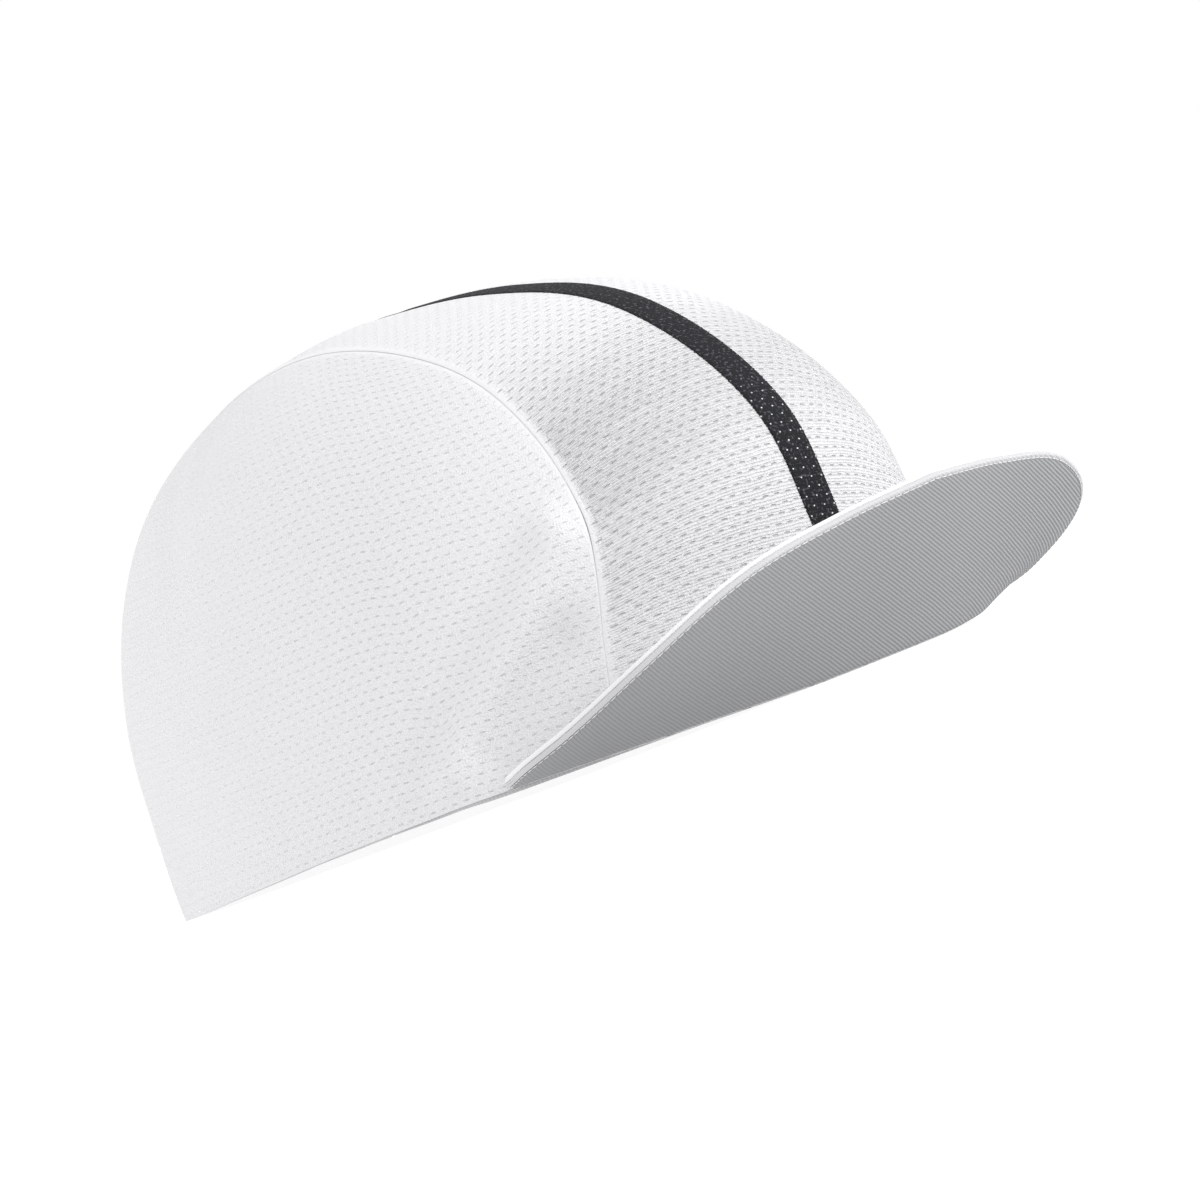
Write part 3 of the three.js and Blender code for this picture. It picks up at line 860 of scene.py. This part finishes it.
def peak_frame(share):
    """At shares of the peak's half angle: its base, the way along it and the way off its underside."""
    s = sizes()
    bearing = math.degrees(s.peak_half_angle) * share
    nudge, clearance = 0.5, 0.0003
    level = np.zeros_like(bearing)
    rim = crown_face(towards(bearing, level))
    after = crown_face(towards(bearing + nudge, level))
    along = after - crown_face(towards(bearing - nudge, level))
    along[..., 2] = 0
    outwards = unit(np.cross(along, (0, 0, 1.0)))
    outwards = unit(outwards * (1 - PEAK_FORWARD) + np.array([0, -1, 0]) * PEAK_FORWARD)
    tilt = np.radians(read_table(PEAK_SECTIONS, "share", "tilt", abs(share)))[..., None]
    up = np.array([0, 0, 1.0])
    lengthways = outwards * np.cos(tilt) + up * np.sin(tilt)
    crossways = up * np.cos(tilt) - outwards * np.sin(tilt)
    base = rim + outwards * (s.peak_stack * np.sin(tilt) + clearance)
    return base, lengthways, crossways


def peak_share(t):
    """Shares of the half angle for t from 0 to 1, and how thick the peak is there, as a share."""
    share = 2 * crowded(t, 0.5) - 1
    corner, thinnest = 0.02, 0.05
    closed = np.sqrt(np.clip(1 - np.maximum(0, (abs(share) - 1 + corner) / corner) ** 2, 0, 1))
    return share, thinnest + (1 - thinnest) * closed


def peak_point(share, thick, out, lift):
    """Points of the peak: out from the hem along it, and lift above its underside."""
    s = sizes()
    base, lengthways, crossways = peak_frame(share)
    width = peak_width(share)
    part = np.clip(out / width, 0, 1)
    bow = s.peak_camber * width / s.peak_length * 4 * part * (1 - part)
    lift = s.peak_stack / 2 + (lift - s.peak_stack / 2) * thick - bow
    return base + lengthways * out[..., None] + crossways * lift[..., None]


def peak_flat(share, out):
    """Where the peak's cloth lies once it is flat, with its front edge along the first axis."""
    base, lengthways, _ = peak_frame(share)
    tilt = math.radians(PEAK_SECTIONS["tilt"][0])
    point = base + lengthways * out[..., None]
    return np.stack([point[..., 0], point[..., 2] * math.sin(tilt) - point[..., 1] * math.cos(tilt)], -1)


def rolled_edge(round_it, width, radius, degrees):
    """How far out a cloth lies, and how far it has turned over, from the hem round the peak's edge."""
    flat_part, crowding = 0.6, 0.7
    angle = math.radians(degrees) * np.clip((round_it - flat_part) / (1 - flat_part), 0, 1)
    flat_run = (width - radius) * np.clip(round_it / flat_part, 0, 1) ** crowding
    return flat_run + radius * np.sin(angle), angle


def twill_contrast(share):
    """How clearly the twill's ribs show, in colour and in bump: least at the wearer's right, and most
    towards the left. This is painted light, a raking light from the wearer's left painted into the ribs.
    """
    least, most, full_at, curve = 0.3, 1.2, 0.8, 1.4
    return least + (most - least) * np.clip((share + 1) / (full_at + 1), 0, 1) ** curve


class CAP_OT_peak(bpy.types.Operator):
    """The peak: its mesh cover rolled round the edge, its twill underside and its topstitches"""
    bl_idname = "cap.peak"
    bl_label = "Peak"

    def execute(self, context):
        self.cover()
        self.underside()
        self.stitches()
        return {"FINISHED"}

    def cover(self):
        s = sizes()
        pressed_angle = 1 / 3

        def place(round_it, along):
            share, thick = peak_share(along)
            radius = s.peak_stack * (1 - s.twill_share) / 2
            out, angle = rolled_edge(round_it, peak_width(share), radius, degrees=200)
            lift = s.peak_stack - radius + radius * np.cos(angle)
            flat = peak_flat(share, out + radius * (angle - np.sin(angle)))
            pressed = np.clip(angle / pressed_angle, 0, 1)
            marks = {"pressed": pressed, "relief": COVER_KNIT_RELIEF * (angle == 0)}
            return peak_point(share, thick, out, lift), flat, marks

        bm = cloth_grid(place, across=48, along=170)
        face_out(bm, lambda face: Vector((0, 0.4, 1)))
        piece = piece_from(bm, "peak_cover_mesh", material(knitted_mesh), ["peak_top"])
        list(flat_size(piece))
        thicken(piece, s.peak_wall)

    def underside(self):
        s = sizes()
        groove_width, groove_depth, groove_end_angle, fade = 0.00045, 0.0003, 0.6, 0.0004

        def place(round_it, along):
            share, thick = peak_share(along)
            width = peak_width(share)
            radius = s.peak_stack * s.twill_share / 2
            out, angle = rolled_edge(round_it, width, radius, degrees=190)
            past_stitches = out - width + s.welt_width
            groove = groove_depth * np.exp(-(past_stitches / groove_width) ** 2)
            groove = groove * (angle < groove_end_angle) * thick
            lift = radius - radius * np.cos(angle) + groove
            flat = peak_flat(share, out + radius * (angle - np.sin(angle)))
            marks = {"rolled": np.clip(past_stitches / fade, 0, 1), "crisp": twill_contrast(share)}
            return peak_point(share, thick, out, lift), flat, marks

        bm = cloth_grid(place, across=60, along=170)
        face_out(bm, lambda face: Vector((0, -0.4, -1)))
        piece = piece_from(bm, "peak_underside_twill", material(ribbed_twill),
                           ["peak_underside"])
        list(flat_size(piece))
        thicken(piece, s.peak_wall)

    def stitches(self):
        """Topstitches along the rolled edge, and a bar tack at each corner."""
        s = sizes()
        lift, path_lift, inset, steps = 0.00005, 0.00002, 0.00005, 600
        out_of = lambda share: peak_width(share) - s.welt_width - inset
        shares = np.linspace(-PEAK_STITCHED, PEAK_STITCHED, steps)
        line = peak_point(shares, np.ones(steps), out_of(shares), np.full(steps, path_lift))
        run = np.concatenate([[0], np.cumsum(np.linalg.norm(np.diff(line, axis=0), axis=1))])
        count = int(run[-1] / s.stitch_pitch)
        bm = bmesh.new()
        for i in range(count):
            places = run[-1] * (i + np.array(STITCH_PART)) / count
            ends = np.interp(places, run, shares)
            add_stitch(bm, peak_point(ends, np.ones(2), out_of(ends), np.full(2, lift)))
        for side in (-1, 1):
            self.bar_tack(bm, side)
        piece_from(bm, "peak_stitches", material(sewing_thread))

    def bar_tack(self, bm, side):
        """A short block of close stitches that holds a corner of the peak to the hem."""
        rows, breadth, lift = 9, 0.03, -0.0001
        from_hem = np.array([-0.0003, 0.0028])
        for row in range(rows):
            share = np.full(2, side * (PEAK_STITCHED + breadth * row / rows))
            add_stitch(bm, peak_point(share, np.ones(2), from_hem, np.full(2, lift)))


def add_stitch(bm, ends):
    """One stitch of thread between two ends."""
    start, end = (Vector(point) + MIDDLE for point in ends)
    run = end - start
    radius = sizes().thread / 2
    shape = Matrix.Diagonal((radius, radius, run.length / 2, 1))
    turned = run.to_track_quat("Z", "Y").to_matrix().to_4x4()
    bmesh.ops.create_uvsphere(bm, u_segments=8, v_segments=6, radius=1,
                              matrix=Matrix.Translation((start + end) / 2) @ turned @ shape)


class CAP_OT_inner_band(bpy.types.Operator):
    """The grey band inside the hem"""
    bl_idname = "cap.inner_band"
    bl_label = "Inner band"

    def execute(self, context):
        s = sizes()
        top_rise = math.degrees(math.atan2(s.band_height, s.rim_breadth / 2))
        girth = math.pi * (s.rim_length + s.rim_breadth) / 2
        clearance, top_clearance, top_part, low_part = 0.0003, 0.0004, 0.08, 0.15

        def place(up, along):
            bearing = 360 * along - 180
            level = crowded(up)
            direction = towards(bearing, top_rise * level)
            at_top = np.exp(-((1 - level) / top_part) ** 2)
            points = crown(direction, -(s.mesh_wall + clearance + top_clearance * at_top))
            low = np.clip(1 - level / low_part, 0, 1)
            points[:, 2] -= (hem_height(bearing) - band_edge(bearing)) * low
            points[:, 2] = np.maximum(points[:, 2], band_edge(bearing))
            return points, np.stack([along * girth, level * s.band_height], axis=-1), {}

        bm = cloth_grid(place, across=14, along=160)
        face_out(bm, from_inside)
        piece = piece_from(bm, "inner_band_cloth", material(band_tape), ["inner_band"])
        thicken(piece, s.band_wall)
        return {"FINISHED"}


class CAP_OT_stage(bpy.types.Operator):
    """The floor, the light room, the soft lights and the camera"""
    bl_idname = "cap.stage"
    bl_label = "Stage"

    def execute(self, context):
        self.floor()
        self.room()
        for name, (place, size) in STUDIO_LIGHTS.items():
            self.light(name, place, size, getattr(context.scene.cap_stage, name))
        self.camera()
        context.scene.view_settings.view_transform = "Standard"
        return {"FINISHED"}

    def floor(self):
        bm = bmesh.new()
        bmesh.ops.create_grid(bm, x_segments=1, y_segments=1, size=FLOOR_REACH)
        mesh = bpy.data.meshes.new("floor")
        bm.to_mesh(mesh)
        bm.free()
        floor = bpy.data.objects.new("floor", mesh)
        bpy.context.scene.collection.objects.link(floor)
        mesh.materials.append(material(light_table))

    def room(self):
        world = bpy.context.scene.world or bpy.data.worlds.new("room")
        bpy.context.scene.world = world
        tree = Tree(world)
        strength = bpy.context.scene.cap_stage.room
        light = tree.node("ShaderNodeBackground", {}, [grey(1.0), strength])
        tree.finish(light, "ShaderNodeOutputWorld")

    def light(self, name, place, size, power):
        data = bpy.data.lights.new(name, "AREA")
        data.shape, data.size, data.energy = "DISK", size, power
        lamp = bpy.data.objects.new(name, data)
        bpy.context.scene.collection.objects.link(lamp)
        lamp.location = place
        lamp.rotation_mode = "QUATERNION"
        target = Vector((0, 0, sizes().crown_height / 2))
        lamp.rotation_quaternion = (target - Vector(place)).to_track_quat("-Z", "Y")

    def camera(self):
        stage = bpy.context.scene.cap_stage
        azimuth, level_reach = stage.azimuth, math.cos(stage.elevation)
        back = Vector((math.sin(azimuth) * level_reach, -math.cos(azimuth) * level_reach,
                       math.sin(stage.elevation)))
        right = Vector((math.cos(azimuth), math.sin(azimuth), 0))
        level = Matrix((right, back.cross(right), back)).transposed()
        turned = level @ Matrix.Rotation(-stage.roll, 3, "Z")
        place = MIDDLE + back * stage.distance
        aim = MIDDLE + turned.col[0] * stage.aim_right + turned.col[1] * stage.aim_up
        depth = (place - aim).normalized()
        side = turned.col[1].cross(depth).normalized()
        axes = Matrix((side, depth.cross(side), depth)).transposed()
        camera = bpy.data.objects.new("camera", bpy.data.cameras.new("camera"))
        bpy.context.scene.collection.objects.link(camera)
        camera.matrix_world = Matrix.Translation(place) @ axes.to_4x4()
        camera.data.lens = stage.lens
        bpy.context.scene.camera = camera


class CAP_PT_sidebar(bpy.types.Panel):
    """Lists the cap's pieces and settings"""
    bl_idname = "CAP_PT_sidebar"
    bl_label = "Cycling cap"
    bl_space_type = "VIEW_3D"
    bl_region_type = "UI"
    bl_category = "Cap"

    def draw(self, context):
        for operator in OPERATORS:
            self.layout.operator(operator.bl_idname)
        for group in (context.scene.cap_sizes, context.scene.cap_cloths, context.scene.cap_stage):
            for name in group.__annotations__:
                self.layout.prop(group, name)


OPERATORS = (CAP_OT_stage, CAP_OT_centre_panel, CAP_OT_side_panels, CAP_OT_stripe, CAP_OT_peak,
             CAP_OT_inner_band)
CLASSES = (CapSizes, CapCloths, CapStage, *OPERATORS, CAP_PT_sidebar)


def register():
    for cls in CLASSES:
        bpy.utils.register_class(cls)
    bpy.types.Scene.cap_sizes = PointerProperty(type=CapSizes)
    bpy.types.Scene.cap_cloths = PointerProperty(type=CapCloths)
    bpy.types.Scene.cap_stage = PointerProperty(type=CapStage)


def unregister():
    del bpy.types.Scene.cap_sizes
    del bpy.types.Scene.cap_cloths
    del bpy.types.Scene.cap_stage
    for cls in reversed(CLASSES):
        bpy.utils.unregister_class(cls)


def main():
    register()
    for operator in OPERATORS:
        group, name = operator.bl_idname.split(".")
        getattr(getattr(bpy.ops, group), name)()


if __name__ == "__main__":
    main()
